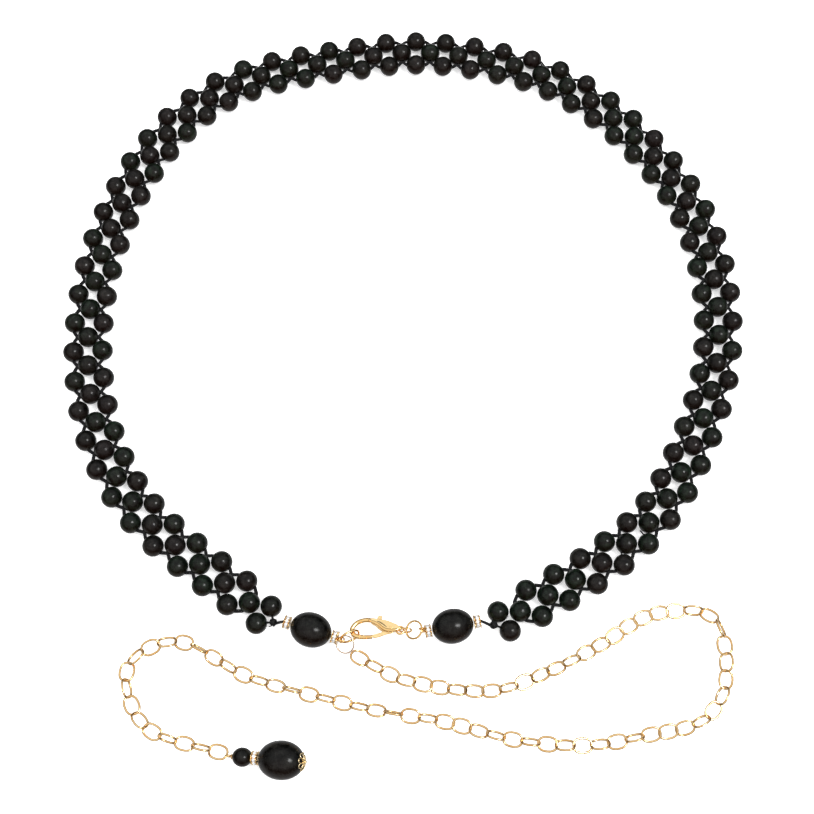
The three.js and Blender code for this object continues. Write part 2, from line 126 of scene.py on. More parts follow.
CHAIN_ROUTE = [
    (-19.7, -110.9), (0.7, -120.7), (30.5, -124.6), (51.8, -118.1), (72.0, -107.9),
    (93.4, -95.8), (115.8, -97.6), (118.6, -120.7), (109.1, -135.4), (88.2, -140.8),
    (66.0, -144.4), (40.2, -142.4), (14.8, -135.9), (-10.1, -131.8), (-34.9, -126.0),
    (-58.9, -119.0), (-84.8, -106.2), (-102.8, -116.1), (-94.6, -138.0), (-65.0, -147.6),
]

# Where a cut thread end sticks out at the band's inner edge, and the way it points, in degrees.
THREAD_TAILS = [(80.5, -63.1, 115), (71.3, -67.6, 100)]

# The clasp's outlines and lines, in shares of its length and height from its corner.
CHEEK_OUTLINE = [
    (0.418, 0.48), (0.556, 0.44), (0.704, 0.385), (0.81, 0.295), (0.91, 0.19), (0.984, 0.077),
    (0.995, -0.026), (0.952, -0.1), (0.857, -0.14), (0.751, -0.135), (0.624, -0.09),
    (0.556, 0.013), (0.497, 0.154), (0.413, 0.282),
]
HOOK_LINE = [
    (0.56, 0.33), (0.423, 0.397), (0.28, 0.404), (0.132, 0.27),
    (0.037, -0.02), (0.079, -0.314), (0.222, -0.41), (0.44, -0.404),
]
LEVER_OUTLINE = [
    (0.4365, -0.3205), (0.4635, -0.4487), (0.5556, -0.4231), (0.7037, -0.2949), (0.8413, -0.1923),
    (0.87, 0.04), (0.82, 0.18),
    (0.6402, 0.3974), (0.6296, 0.6026), (0.5503, 0.6026), (0.5397, 0.3718),
    (0.6296, -0.1282), (0.5079, -0.2564),
]
PIVOT = (0.799, 0.0385)
TAIL_EYE = (0.984, -0.077)
RAIL_LINE = [
    (0.36, 0.40), (0.45, 0.31), (0.545, 0.19), (0.62, 0.04), (0.69, -0.06), (0.78, -0.10),
    (0.88, -0.09), (0.95, -0.03),
]
GROOVE_LINE = [(0.49, 0.365), (0.57, 0.30), (0.64, 0.20), (0.70, 0.09), (0.735, 0.02)]
TAIL_PLUG = [(0.885, 0.19), (0.95, 0.1), (0.96, -0.06), (0.9, -0.11), (0.885, 0.0)]

# Heights in the clasp's thickness, from the table.
LOWER_CHEEK = (1.5, 2.15)
UPPER_CHEEK = (3.45, 4.1)
LEVER_SPAN = (2.45, 3.15)
PIN_SPAN = (2.0, 3.6)
PLUG_SPAN = (2.1, 3.5)
RIVET_HEADS = ((1.40, 1.62), (3.98, 4.16))
RAIL_HEIGHT = 3.92
GROOVE_HEIGHT = 4.03

HOOK_RADIUS = 0.98
HOOK_TIP_THINNING = 0.16
HOOK_ROOT_THINNING = 0.06
TAIL_EYE_RADIUS = 1.4
TAIL_EYE_WIRE_RADIUS = 0.38
RIVET_RADIUS = 0.5
RAIL_RADIUS = 0.5
GROOVE_RADIUS = 0.17

# A rondelle: stones between two lobed rims, and the claws that hold them.
STONES = 9
STONE_RADIUS = 0.82
STONE_CIRCLE = 2.0
CLAW_CIRCLE = 2.25
CLAW_HEIGHT = 0.55
RIM_HOLE = 0.5
RIM_RADIUS = 2.38
RIM_LOBE = 0.20
RIM_SPAN = (0.86, 1.2)
CORE_PROFILE = [(0.5, -1.1), (1.5, -1.1), (1.5, 1.1), (0.5, 1.1)]
CLAW_PROFILE = [(0.02, -0.2), (0.16, -0.1), (0.2, 0), (0.16, 0.1), (0.02, 0.2)]

# A faceted stone's rings of points: distance and height in shares of its radius, turn in sides.
STONE_RINGS = [(0.55, 0.52, 0.0), (0.86, 0.26, 0.5), (1.0, 0.0, 0.0)]
STONE_SIDES = 8
STONE_POINT = 0.6

# The flower cap: a petal's wire as distance and share of its half angle, and the turned middle.
PETALS = 8
PETAL_LINE = [
    (0.85, 0.0), (1.5, -0.55), (2.4, -0.92), (3.05, -0.55), (3.3, 0.0),
    (3.05, 0.55), (2.4, 0.92), (1.5, 0.55), (0.85, 0.0),
]
PETAL_WIRE_RADIUS = 0.19
PETAL_LIFT = 0.12
COLLAR_PROFILE = [(0.35, 0.1), (0.95, 0.02), (1.1, 0.25), (0.85, 0.45), (0.35, 0.5)]
PIN_HEAD_PROFILE = [(0.03, 0.2), (0.6, 0.4), (0.7, 0.7), (0.5, 0.95), (0.2, 1.1), (0.03, 1.12)]

# Camera and light, the camera in millimetres and the lights in metres and watts.
LENS = 68.3
SENSOR = 36.0
CAMERA_TARGET = (0.7, -12.4, 0.0)
CAMERA_OFFSET = (0.0, -208.6, 573.2)
CAMERA_TILT = 20.0
FLOOR_SIZE = 6.0
KEY_PLACE = (0.93, -0.36, 2.0)
KEY_SIZE = (0.62, 0.62)
KEY_POWER = 26.0
FILL_PLACE = (-0.7, 0.6, 1.7)
FILL_SIZE = (2.6, 2.4)
FILL_POWER = 44.0
TENT_STOPS = [
    (0.0, 0.80), (0.36, 0.62), (0.46, 0.03), (0.60, 0.04), (0.71, 0.50), (0.84, 0.98), (1.0, 1.05),
]

EDGE_ROWS = 4
TINY = 1e-6
STEEP = 0.95


def node_middle(name):
    low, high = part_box(name)
    return np.array((low + high) / 2) / MM


def seen_middle(node):
    """A node's middle, with the small move that a bead beside the clasp has on its wire."""
    side = next((s for s in SLIDE if s in node and not node.startswith("drop")), None)
    return node_middle(node) + (np.array(SLIDE[side]) if side else 0.0)


def found_shift():
    """How far the model was moved to bring its origin under the middle of its box."""
    low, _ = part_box("clasp_lever")
    tip_x = CLASP_CORNER[0] + LEVER_OUTLINE[0][0] * CLASP_LENGTH
    tip_y = CLASP_CORNER[1] + LEVER_OUTLINE[1][1] * CLASP_HEIGHT
    return np.array([low.x / MM - tip_x, low.y / MM - tip_y, 0.0])


SHIFT = found_shift()


# Camera

def place_camera():
    data = bpy.data.cameras.new("camera")
    data.lens = LENS
    data.sensor_width = SENSOR
    camera = bpy.data.objects.new("camera", data)
    target = np.array(CAMERA_TARGET) + SHIFT
    camera.location = Vector((target + np.array(CAMERA_OFFSET)) * MM)
    camera.rotation_euler = (math.radians(CAMERA_TILT), 0.0, 0.0)
    bpy.context.scene.collection.objects.link(camera)
    bpy.context.scene.camera = camera


# Shapes

class Shape:
    """Collects vertices in millimetres and faces, and makes one object of them."""

    def __init__(self):
        self.verts = []
        self.faces = []
        self.slots = []
        self.flat = []
        self.tints = []
        self.count = 0

    def add(self, verts, faces, slot=0, flat=False, matrix=None):
        spots = np.asarray(verts, dtype=float)
        if matrix is not None:
            spots = spots @ matrix[:3, :3].T + matrix[:3, 3]
        self.verts.append(spots)
        self.add_faces(self.count, faces, slot, flat)
        self.count += len(spots)

    def add_faces(self, start, faces, slot, flat=False):
        """Faces on the vertices from start onward."""
        self.faces.extend(tuple(start + i for i in face) for face in faces)
        self.slots.extend([slot] * len(faces))
        self.flat.extend([flat] * len(faces))

    def object(self, name, materials, body="belt"):
        mesh = bpy.data.meshes.new(name)
        mesh.from_pydata((np.vstack(self.verts) * MM).tolist(), [], self.faces)
        for material in materials:
            mesh.materials.append(material)
        mesh.polygons.foreach_set("material_index", self.slots)
        mesh.polygons.foreach_set("use_smooth", [not flat for flat in self.flat])
        if self.tints:
            tint = mesh.attributes.new("tint", "FLOAT", "POINT")
            tint.data.foreach_set("value", np.concatenate(self.tints))
        mesh.update()
        made = bpy.data.objects.new(name, mesh)
        bpy.context.scene.collection.objects.link(made)
        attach(made, body)
        return made


def grid_faces(rows, columns, close_rows=False):
    """Faces between rows of points. Each row closes on itself."""
    faces = []
    for i in range(rows if close_rows else rows - 1):
        for j in range(columns):
            a = i * columns + j
            b = i * columns + (j + 1) % columns
            c = ((i + 1) % rows) * columns + (j + 1) % columns
            d = ((i + 1) % rows) * columns + j
            faces.append((a, b, c, d))
    return faces


def end_faces(rows, sides):
    """The faces that close the first and the last row."""
    last = (rows - 1) * sides
    return [tuple(range(sides))[::-1], tuple(last + i for i in range(sides))]


def revolved(profile, sides, close=False):
    """A profile of (radius, height) turned about Z, its faces pointing out when it runs upward."""
    turn = np.linspace(0, 2 * np.pi, sides, endpoint=False)
    verts = [(r * math.cos(a), r * math.sin(a), z) for r, z in profile for a in turn]
    faces = grid_faces(len(profile), sides, close_rows=close)
    if not close:
        faces += end_faces(len(profile), sides)
    return verts, faces


def basis(origin, x, y, z):
    matrix = np.eye(4)
    matrix[:3, 0] = x
    matrix[:3, 1] = y
    matrix[:3, 2] = z
    matrix[:3, 3] = origin
    return matrix


def unit(v):
    v = np.asarray(v, dtype=float)
    return v / np.linalg.norm(v)


def facing(origin, axis):
    """A frame at the origin whose Z is the axis."""
    z = unit(axis)
    x = np.cross((0, 0, 1), z)
    if np.linalg.norm(x) < TINY:
        x = np.array([1.0, 0.0, 0.0])
    x = unit(x)
    return basis(origin, x, np.cross(z, x), z)


def heading(azimuth, climb):
    a = math.radians(azimuth)
    e = math.radians(climb)
    return np.array([math.cos(e) * math.cos(a), math.cos(e) * math.sin(a), math.sin(e)])


def smooth_line(points, steps, closed=False):
    """A Catmull-Rom line through the points."""
    p = np.asarray(points, dtype=float)
    if closed:
        p = np.vstack([p[-1], p, p[0], p[1]])
    else:
        p = np.vstack([2 * p[0] - p[1], p, 2 * p[-1] - p[-2]])
    out = []
    for i in range(1, len(p) - 2):
        t = np.linspace(0, 1, steps, endpoint=False)[:, None]
        a, b, c, d = p[i - 1], p[i], p[i + 1], p[i + 2]
        v0 = (c - a) / 2
        v1 = (d - b) / 2
        out.append(
            b + v0 * t + (3 * (c - b) - 2 * v0 - v1) * t ** 2 + (2 * (b - c) + v0 + v1) * t ** 3
        )
    if not closed:
        out.append(p[-2][None])
    return np.vstack(out)


def arc_lengths(line):
    return np.concatenate([[0], np.cumsum(np.linalg.norm(np.diff(line, axis=0), axis=1))])


def at_lengths(line, lengths):
    s = arc_lengths(line)
    return np.stack([np.interp(lengths, s, line[:, k]) for k in range(line.shape[1])], 1)


def sweep_sides(way, up):
    """The direction across a tube at each point, square to up or carried along with no twist."""
    side = np.zeros_like(way)
    reference = np.array(up if up is not None else (0.0, 0.0, 1.0))
    if abs(np.dot(way[0], reference)) > STEEP and up is None:
        reference = np.array([1.0, 0.0, 0.0])
    side[0] = unit(np.cross(reference, way[0]))
    for i in range(1, len(way)):
        if up is not None:
            side[i] = unit(np.cross(reference, way[i]))
        else:
            side[i] = unit(side[i - 1] - way[i] * np.dot(side[i - 1], way[i]))
    return side


def swept(points, radii, sides, flatten=1.0, up=None):
    """A closed tube through the points, with a radius at each. Flatten scales it across."""
    p = np.asarray(points, dtype=float)
    radii = np.broadcast_to(np.asarray(radii, dtype=float), (len(p),))
    way = np.gradient(p, axis=0)
    way /= np.linalg.norm(way, axis=1)[:, None]
    side = sweep_sides(way, up)
    rise = np.cross(way, side)
    turn = np.linspace(0, 2 * np.pi, sides, endpoint=False)
    verts = []
    for i in range(len(p)):
        for a in turn:
            spoke = math.cos(a) * side[i] * flatten + math.sin(a) * rise[i]
            verts.append(p[i] + radii[i] * spoke)
    return verts, grid_faces(len(p), sides) + end_faces(len(p), sides)


def closed_wire(points, radius, sides):
    """A closed ring of wire along the points, which lie in one plane."""
    p = np.asarray(points, dtype=float)
    n = len(p)
    way = np.roll(p, -1, axis=0) - np.roll(p, 1, axis=0)
    way /= np.linalg.norm(way, axis=1)[:, None]
    middle = p.mean(0)
    normal = unit(np.cross(p[0] - middle, p[n // 4] - middle))
    side = np.cross(way, normal)
    turn = np.linspace(0, 2 * np.pi, sides, endpoint=False)
    verts = []
    for i in range(n):
        for a in turn:
            verts.append(p[i] + radius * (math.cos(a) * side[i] + math.sin(a) * normal))
    return verts, grid_faces(n, sides, close_rows=True)


def round_ring_points(radius, count=48):
    a = np.linspace(0, 2 * np.pi, count, endpoint=False)
    return np.stack([radius * np.cos(a), radius * np.sin(a), np.zeros(count)], 1)


def oval_link_points(length, width, wire, count=44, squareness=0.06):
    """The middle line of an oval link, a little fuller than an ellipse."""
    a = np.linspace(0, 2 * np.pi, count, endpoint=False) + np.pi / count
    full = 1 + squareness * np.sin(2 * a) ** 2
    x = (length - wire) / 2 * np.cos(a) * full
    y = (width - wire) / 2 * np.sin(a) * full
    return np.stack([x, y, np.zeros(count)], 1)


def moved(points, matrix):
    return np.asarray(points) @ matrix[:3, :3].T + matrix[:3, 3]


def laid(origin, direction, roll):
    """A frame whose X is the direction, rolled about it, 0 for lying flat."""
    x = unit(direction)
    side = unit(np.cross((0, 0, 1), x))
    a = math.radians(roll)
    y = side * math.cos(a) + np.cross(x, side) * math.sin(a)
    return basis(origin, x, y, np.cross(x, y))


# Materials

class Nodes:
    """A short way to write a material's node tree."""

    def __init__(self, name):
        self.material = bpy.data.materials.new(name)
        self.material.use_nodes = True
        self.tree = self.material.node_tree
        self.shader = self.tree.nodes["Principled BSDF"]

    def new(self, kind, **values):
        node = self.tree.nodes.new(kind)
        for key, value in values.items():
            if key in node.inputs:
                node.inputs[key].default_value = value
            else:
                setattr(node, key, value)
        return node

    def link(self, source, target):
        self.tree.links.new(source, target)

    def set(self, **values):
        for key, value in values.items():
            self.shader.inputs[key.replace("_", " ")].default_value = value

    def place(self):
        return self.new("ShaderNodeTexCoord").outputs["Object"]

    def noise(self, scale, detail=3.0, roughness=0.5):
        node = self.new("ShaderNodeTexNoise", Scale=scale, Detail=detail, Roughness=roughness)
        self.link(self.place(), node.inputs["Vector"])
        return node.outputs["Fac"]

    def ramp(self, source, stops):
        node = self.new("ShaderNodeValToRGB")
        elements = node.color_ramp.elements
        elements[0].position, elements[0].color = stops[0][0], (*stops[0][1], 1)
        elements[1].position, elements[1].color = stops[-1][0], (*stops[-1][1], 1)
        for position, color in stops[1:-1]:
            elements.new(position).color = (*color, 1)
        self.link(source, node.inputs["Fac"])
        return node.outputs["Color"]

    def spread(self, source, low, high, start=0.3, end=0.7):
        node = self.new("ShaderNodeMapRange")
        node.inputs["From Min"].default_value = start
        node.inputs["From Max"].default_value = end
        node.inputs["To Min"].default_value = low
        node.inputs["To Max"].default_value = high
        self.link(source, node.inputs["Value"])
        return node.outputs["Result"]

    def mix(self, blend, first, second):
        node = self.new("ShaderNodeMix", data_type="RGBA", blend_type=blend)
        node.inputs["Factor"].default_value = 1.0
        self.link(first, node.inputs["A"])
        self.link(second, node.inputs["B"])
        return node.outputs["Result"]

    def bump(self, source, strength, distance):
        node = self.new("ShaderNodeBump", Strength=strength, Distance=distance)
        self.link(source, node.inputs["Height"])
        self.link(node.outputs["Normal"], self.shader.inputs["Normal"])

    def color(self, source):
        self.link(source, self.shader.inputs["Base Color"])

    def rough(self, source):
        self.link(source, self.shader.inputs["Roughness"])


def painted_glass_glow(m):
    """Painted light: a faint brown glow, as of light through the glass, on the side of a bead that
    faces the drop's end of the belt, fixed to that direction.
    """
    lean = m.new("ShaderNodeVectorMath", operation="DOT_PRODUCT")
    lean.inputs[1].default_value = (0.08, -0.92, 0.18)
    m.link(m.new("ShaderNodeTexCoord").outputs["Normal"], lean.inputs[0])
    return m.ramp(m.spread(lean.outputs["Value"], 0.0, 1.0, 0.15, 0.95), [
        (0.0, (0.0, 0.0, 0.0)), (0.6, (0.0022, 0.0006, 0.0002)), (1.0, (0.0045, 0.0012, 0.0004)),
    ])


def dark_glass(name="dark_glass", per_bead=True):
    """Near-black clouded glass with specks, green or warm from bead to bead where asked, with a
    faint brown glow painted on one side as light through the glass.
    """
    m = Nodes(name)
    if per_bead:
        tint = m.new("ShaderNodeAttribute", attribute_name="tint").outputs["Fac"]
        body = m.ramp(tint, [
            (0.0, (0.0036, 0.0066, 0.0043)), (0.35, (0.0042, 0.0058, 0.0043)),
            (0.60, (0.0050, 0.0049, 0.0043)), (1.0, (0.0060, 0.0050, 0.0050)),
        ])
    else:
        body = m.ramp(m.noise(60.0), [
            (0.3, (0.0030, 0.0035, 0.0030)), (0.7, (0.0048, 0.0045, 0.0042)),
        ])
    clouds = m.ramp(m.noise(470.0, 6.0, 0.72), [
        (0.36, (0.03, 0.03, 0.03)), (0.46, (0.55, 0.56, 0.53)), (0.56, (1.35, 1.35, 1.30)),
        (0.68, (2.7, 2.65, 2.50)),
    ])
    shade = m.mix("MULTIPLY", body, clouds)
    specks = m.ramp(m.noise(1900.0, 2.0, 0.6), [(0.66, (0, 0, 0)), (0.80, (0.016, 0.017, 0.015))])
    # The added brown is painted light: a glow of light through the glass on the side toward the
    # drop's end.
    m.color(m.mix("ADD", m.mix("ADD", shade, painted_glass_glow(m)), specks))
    m.rough(m.spread(m.noise(420.0), 0.12, 0.26))
    m.bump(m.noise(380.0, 4.0), 0.30, 0.0003)
    m.set(IOR=1.5, Specular_IOR_Level=0.18)
    return m.material


def hole_edge_and_highlight():
    """The ground edge round a bead's hole: a grey frosted finish, with a painted highlight in its
    colour for the light that the edge catches.
    """
    m = Nodes("hole_edge_and_highlight")
    m.color(m.ramp(m.noise(1800.0), [(0.3, (0.10, 0.10, 0.095)), (0.7, (0.32, 0.32, 0.30))]))
    m.set(Roughness=0.45)
    return m.material


def black_thread():
    m = Nodes("black_thread")
    m.color(m.ramp(m.noise(3000.0), [(0.3, (0.0025, 0.0025, 0.003)), (0.7, (0.011, 0.011, 0.012))]))
    wave = m.new("ShaderNodeTexWave", Scale=900.0, Distortion=2.0)
    m.link(m.place(), wave.inputs["Vector"])
    m.bump(wave.outputs["Fac"], 0.4, 0.00008)
    m.set(Roughness=0.6, Specular_IOR_Level=0.2)
    return m.material


def gold(name, bright, deep, rough_low, rough_high, grain=0.0):
    """Gold plate, smooth with faint waves, or grained where grain is given."""
    m = Nodes(name)
    m.color(m.ramp(m.noise(260.0, 4.0), [(0.3, deep), (0.7, bright)]))
    m.rough(m.spread(m.noise(900.0, 4.0), rough_low, rough_high))
    m.set(Metallic=1.0)
    if grain:
        m.bump(m.noise(4000.0, 3.0, 0.7), grain, 0.00006)
    else:
        m.bump(m.noise(700.0, 3.0), 0.06, 0.0001)
    return m.material


def seam_painted_shade():
    """Painted shade for the seam between two parts of the clasp: a near-black brown that stands in
    for its shadow.
    """
    m = Nodes("seam_painted_shade")
    m.color(m.ramp(m.noise(1500.0), [(0.3, (0.010, 0.006, 0.002)), (0.7, (0.045, 0.026, 0.008))]))
    m.set(Roughness=0.6)
    return m.material


def rhinestone():
    """Foil-backed clear crystal. Its flat facets look bright or dark by how they are turned."""
    m = Nodes("rhinestone")
    m.color(m.ramp(m.noise(900.0), [(0.35, (0.72, 0.73, 0.75)), (0.65, (0.97, 0.97, 0.98))]))
    m.set(Metallic=0.55, Roughness=0.05, IOR=1.7, Coat_Weight=0.6, Coat_Roughness=0.01)
    return m.material


def floor_paper():
    m = Nodes("floor_paper")
    m.color(m.ramp(m.noise(18.0), [(0.3, (0.955, 0.955, 0.955)), (0.7, (0.975, 0.975, 0.975))]))
    m.set(Roughness=0.9, Emission_Color=(1.0, 1.0, 1.0, 1.0), Emission_Strength=0.45)
    return m.material


DARK = dark_glass()
DEEP = dark_glass("deep_glass", per_bead=False)
EDGE_AND_HIGHLIGHT = hole_edge_and_highlight()
THREAD = black_thread()
POLISHED = gold("polished_gold", (0.97, 0.70, 0.34), (0.86, 0.52, 0.19), 0.06, 0.15)
SATIN = gold("satin_gold", (0.80, 0.60, 0.31), (0.70, 0.50, 0.23), 0.32, 0.44, 0.6)
WIRE = gold("wire_gold", (0.96, 0.68, 0.32), (0.84, 0.48, 0.15), 0.07, 0.16)
CHAIN = gold("chain_gold", (0.92, 0.66, 0.35), (0.80, 0.48, 0.18), 0.06, 0.16)
PALE = gold("pale_gold", (0.74, 0.58, 0.44), (0.58, 0.42, 0.29), 0.10, 0.20)
CAP_GOLD = gold("cap_gold", (1.00, 0.86, 0.58), (0.95, 0.72, 0.38), 0.10, 0.22)
SEAM_PAINTED_SHADE = seam_painted_shade()
STONE = rhinestone()


# Beads

def bead_profile(half, reach, hole, bevel, rows):
    """An ellipsoid of half length and radius, with a bevelled mouth at each end of its hole."""
    mouth = math.asin((hole + bevel) / reach)
    end = half * math.cos(mouth) - bevel * BEVEL_SINK
    inside = half * HOLE_DEPTH
    spots = [(hole, -inside), (hole, -end)]
    for i in range(rows + 1):
        a = mouth + (math.pi - 2 * mouth) * i / rows
        spots.append((reach * math.sin(a), -half * math.cos(a)))
    return spots + [(hole, end), (hole, inside)]


def bead_shape(shape, half, reach, hole, matrix, sides, rows, bevel):
    """A bead whose bevel at each mouth has the slot of the ground edge and its painted highlight.
    """
    profile = bead_profile(half, reach, hole, bevel, rows)
    verts, faces = revolved(profile, sides, close=True)
    edge = {1, len(profile) - 3}
    start = shape.count
    shape.add(verts, [f for i, f in enumerate(faces) if i // sides not in edge], 0, False, matrix)
    shape.add_faces(start, [f for i, f in enumerate(faces) if i // sides in edge], 1)


def across(way):
    return np.array([-way[1], way[0], 0.0])


def route_line(route, steps, height):
    """A route's smooth line at a height, placed in the model's frame."""
    flat = smooth_line(route, steps)
    return np.column_stack([flat, np.full(len(flat), height)]) + SHIFT


def net_layout():
    """The centre beads, the band's direction at each, and the pair of beads between each two."""
    line = route_line(BAND_ROUTE, 80, BEAD / 2)
    length = arc_lengths(line)[-1]
    pitch = 2 * CONTACT * math.cos(math.radians(NET_ANGLE))
    count = round(length / pitch) + 1
    spots = np.linspace(0, length, count)
    centres = at_lengths(line, spots)
    after = at_lengths(line, np.clip(spots + 0.5, 0, length))
    before = at_lengths(line, np.clip(spots - 0.5, 0, length))
    ways = after - before
    ways /= np.linalg.norm(ways, axis=1)[:, None]
    units = [end_unit(centres[0], -ways[0], ways[0])]
    for i in range(1, count):
        chord = centres[i] - centres[i - 1]
        half = math.sqrt(CONTACT ** 2 - (np.linalg.norm(chord) / 2) ** 2)
        units.append(dict(
            middle=(centres[i] + centres[i - 1]) / 2, way=unit(chord), half=half, out=None,
        ))
    units.append(end_unit(centres[-1], ways[-1], ways[-1]))
    return centres, ways, units


def pair_bead(u, sign):
    """The middle of a pair's outer or inner bead."""
    return u["middle"] + across(u["way"]) * u["half"] * sign


def end_unit(bead, outward, way):
    reach = math.sqrt(CONTACT ** 2 - END_HALF ** 2)
    return dict(middle=bead + outward * reach, way=way, half=END_HALF, out=outward)


def make_band(layout):
    centres, ways, units = layout
    halfway = len(centres) // 2
    halves = [
        ("band_left", range(0, halfway + 1), range(0, halfway)),
        ("band_right", range(halfway + 1, len(units)), range(halfway, len(centres))),
    ]
    chance = np.random.default_rng(7)
    for name, unit_range, bead_range in halves:
        shape = Shape()
        for i in unit_range:
            u = units[i]
            for sign in (1, -1):
                add_band_bead(shape, pair_bead(u, sign), u["way"], chance)
        for i in bead_range:
            add_band_bead(shape, centres[i], across(ways[i]), chance)
        made = shape.object(name + "_beads", [DARK, EDGE_AND_HIGHLIGHT])
        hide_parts(name)


def add_band_bead(shape, spot, pole, chance):
    """One round bead, a touch out of true, as pressed glass is."""
    tilt = chance.normal(0, BEAD_TILT, 3)
    tilt[2] *= 0.6
    size = BEAD_SEEN / 2 * (1 - abs(chance.normal(0, BEAD_SHRINK)))
    place = facing(np.array([spot[0], spot[1], size]), unit(pole + tilt))
    before = shape.count
    bead_shape(shape, size * BEAD_SQUASH, size, BEAD_HOLE, place, 28, 15, BEAD_BEVEL)
    shape.tints.append(np.full(shape.count - before, chance.random()))


def thread_run(shape, points):
    """Two strands of thread that lie beside each other along the points, with a slight twist."""
    line = smooth_line(points, 6)
    way = np.gradient(line, axis=0)
    way /= np.linalg.norm(way, axis=1)[:, None]
    side = np.cross(way, (0, 0, 1))
    side /= np.maximum(np.linalg.norm(side, axis=1)[:, None], TINY)
    turn = np.linspace(0, THREAD_TWIST, len(line))[:, None]
    offset = (side * np.cos(turn) + np.array([0, 0, 1]) * np.sin(turn)) * THREAD_RADIUS * 0.95
    shape.add(*swept(line + offset, THREAD_RADIUS, 7))
    shape.add(*swept(line - offset, THREAD_RADIUS, 7))


def make_net_threads(layout):
    """The thread that shows between a centre bead's hole and the holes of its four neighbours."""
    centres, ways, units = layout
    shape = Shape()
    chance = np.random.default_rng(11)
    for i, centre in enumerate(centres):
        for u, direction in ((units[i], -1), (units[i + 1], 1)):
            if u["out"] is not None:
                continue
            for sign in (1, -1):
                add_net_thread(shape, centre, across(ways[i]) * sign, u, direction, sign, chance)
    for tail in THREAD_TAILS:
        add_thread_tail(shape, tail, units)
    made = shape.object("net_threads", [THREAD])


def add_net_thread(shape, centre, pole, u, direction, sign, chance):
    """One run of thread, out of a centre bead along its pole and into a bead of the pair."""
    mate = pair_bead(u, sign)
    start, leave = (centre + pole * reach for reach in THREAD_LEAVES)
    enter, end = (mate - u["way"] * direction * reach for reach in THREAD_ENTERS)
    bend = (leave + enter) / 2 + (leave + enter - centre - mate) * THREAD_BOW
    lift = np.array([0, 0, chance.normal(0, THREAD_LIFT)])
    thread_run(shape, [start, leave, bend + lift, enter, end])


def add_thread_tail(shape, tail, units):
    """A cut end of thread that sticks out from the inner bead nearest to the given place."""
    x, y, turn = tail
    spot = np.array([x, y, BEAD / 2]) + SHIFT
    inner = min((pair_bead(u, 1) for u in units), key=lambda p: np.linalg.norm(p - spot))
    way = heading(turn, 0)
    points = [inner + way * 2.5, inner + way * 4.4, inner + way * 6.2 + np.array([0, 0, -1.6])]
    shape.add(*swept(smooth_line(points, 8), THREAD_TAIL_RADIUS, 8))


# Rondelles

def stone_mesh(radius):
    """A round faceted stone, its table toward +Z and its point toward -Z."""
    verts = [(0, 0, radius * STONE_RINGS[0][1])]
    for reach, height, turn in STONE_RINGS:
        for i in range(STONE_SIDES):
            a = 2 * math.pi * (i + turn) / STONE_SIDES
            across_stone = radius * reach
            verts.append((across_stone * math.cos(a), across_stone * math.sin(a), radius * height))
    verts.append((0, 0, -radius * STONE_POINT))
    table, crown, girdle = (1 + STONE_SIDES * k for k in range(3))
    point = len(verts) - 1
    faces = []
    for i in range(STONE_SIDES):
        j = (i + 1) % STONE_SIDES
        faces.append((0, table + i, table + j))
        faces.append((table + i, crown + i, table + j))
        faces.append((table + j, crown + i, crown + j))
        faces.append((crown + i, girdle + i, girdle + j))
        faces.append((crown + i, girdle + j, crown + j))
        faces.append((girdle + i, point, girdle + j))
    return verts, faces


def make_rondelle(node, axis, spin):
    """Two scalloped gold rims with a ring of faceted stones set between them."""
    place = facing(seen_middle(node), axis)
    shape = Shape()
    for side in (-1, 1):
        shape.add(*rim_plate(side, spin), 0, False, place)
    shape.add(*revolved(CORE_PROFILE, 30, close=True), 0, False, place)
    for i in range(STONES):
        add_stone(shape, place, 2 * math.pi * i / STONES + spin)
        add_claws(shape, place, 2 * math.pi * (i + 0.5) / STONES + spin)
    made = shape.object(node + "_crystals", [POLISHED, STONE])
    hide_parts(node)


def add_stone(shape, place, angle):
    outward = np.array([math.cos(angle), math.sin(angle), 0])
    along = np.array([0, 0, 1.0])
    local = basis(outward * STONE_CIRCLE, along, np.cross(outward, along), outward)
    verts, faces = stone_mesh(STONE_RADIUS)
    shape.add(moved(verts, local), faces, 1, True, place)


def add_claws(shape, place, angle):
    """The two claws in the gap between two stones, one at each rim."""
    for low in (-1, 1):
        spot = np.array([
            math.cos(angle) * CLAW_CIRCLE, math.sin(angle) * CLAW_CIRCLE, CLAW_HEIGHT * low,
        ])
        ball, faces = revolved(CLAW_PROFILE, 8)
        shape.add(moved(ball, basis(spot, *np.eye(3))), faces, 0, False, place)


def rim_plate(side, spin):
    """One thin gold rim with a lobe over each stone."""
    count = STONES * 8
    inner, outer = RIM_SPAN
    verts = []
    for lobed, height in ((False, inner), (True, inner), (True, outer), (False, outer)):
        for i in range(count):
            a = 2 * math.pi * i / count
            r = RIM_RADIUS + RIM_LOBE * math.cos(STONES * (a - spin)) if lobed else RIM_HOLE
            verts.append((r * math.cos(a), r * math.sin(a), height * side))
    faces = grid_faces(4, count, close_rows=True)
    if side < 0:
        faces = [f[::-1] for f in faces]
    return verts, faces


def make_oval(node, axis, half, reach, middle=None):
    """A plain bead along the axis, in its node's place unless another middle is given."""
    shape = Shape()
    spot = seen_middle(node) if middle is None else middle
    bead_shape(shape, half, reach, OVAL_HOLE, facing(spot, axis), 56, 36, OVAL_BEVEL)
    made = shape.object(node + "_glass", [DEEP, EDGE_AND_HIGHLIGHT])
    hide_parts(node)


# Rings, eyes and links

def make_ring(node, points, wire, place, material):
    """A closed ring of wire along flat points, put in its place."""
    shape = Shape()
    shape.add(*closed_wire(moved(points, place), wire / 2, 14))
    made = shape.object(node + "_wire", [material])
    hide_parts(node)


